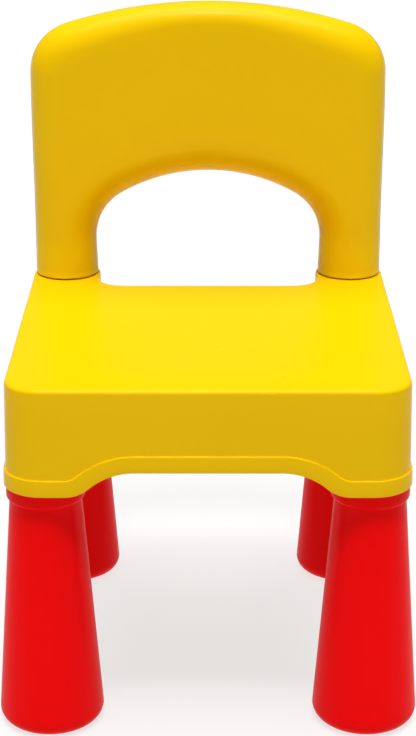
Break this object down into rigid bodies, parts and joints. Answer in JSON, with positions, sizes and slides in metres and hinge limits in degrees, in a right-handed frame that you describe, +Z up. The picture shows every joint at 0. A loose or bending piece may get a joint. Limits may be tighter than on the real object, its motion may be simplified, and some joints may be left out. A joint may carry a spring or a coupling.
{
  "type": "child's chair",
  "caption": "Low child's chair with a moulded seat shell, a thick rounded backrest on round posts, and tapered round plug-in legs.",
  "frame": {"origin": "on the floor, under the middle of the chair's width and depth", "axes": "+Z up, the chair faces -Y, +X to the right seen from the front"},
  "size_m": [0.2716, 0.2896, 0.4295],
  "materials": {
    "seat_plastic": "satin moulded yellow",
    "back_plastic": "satin moulded yellow",
    "leg_plastic": "satin moulded red"
  },
  "bodies": {
    "root": {"seat": "seat_plastic", "backrest": "back_plastic", "leg_front_left": "leg_plastic", "leg_front_right": "leg_plastic", "leg_rear_left": "leg_plastic", "leg_rear_right": "leg_plastic"}
  },
  "joints": []
}
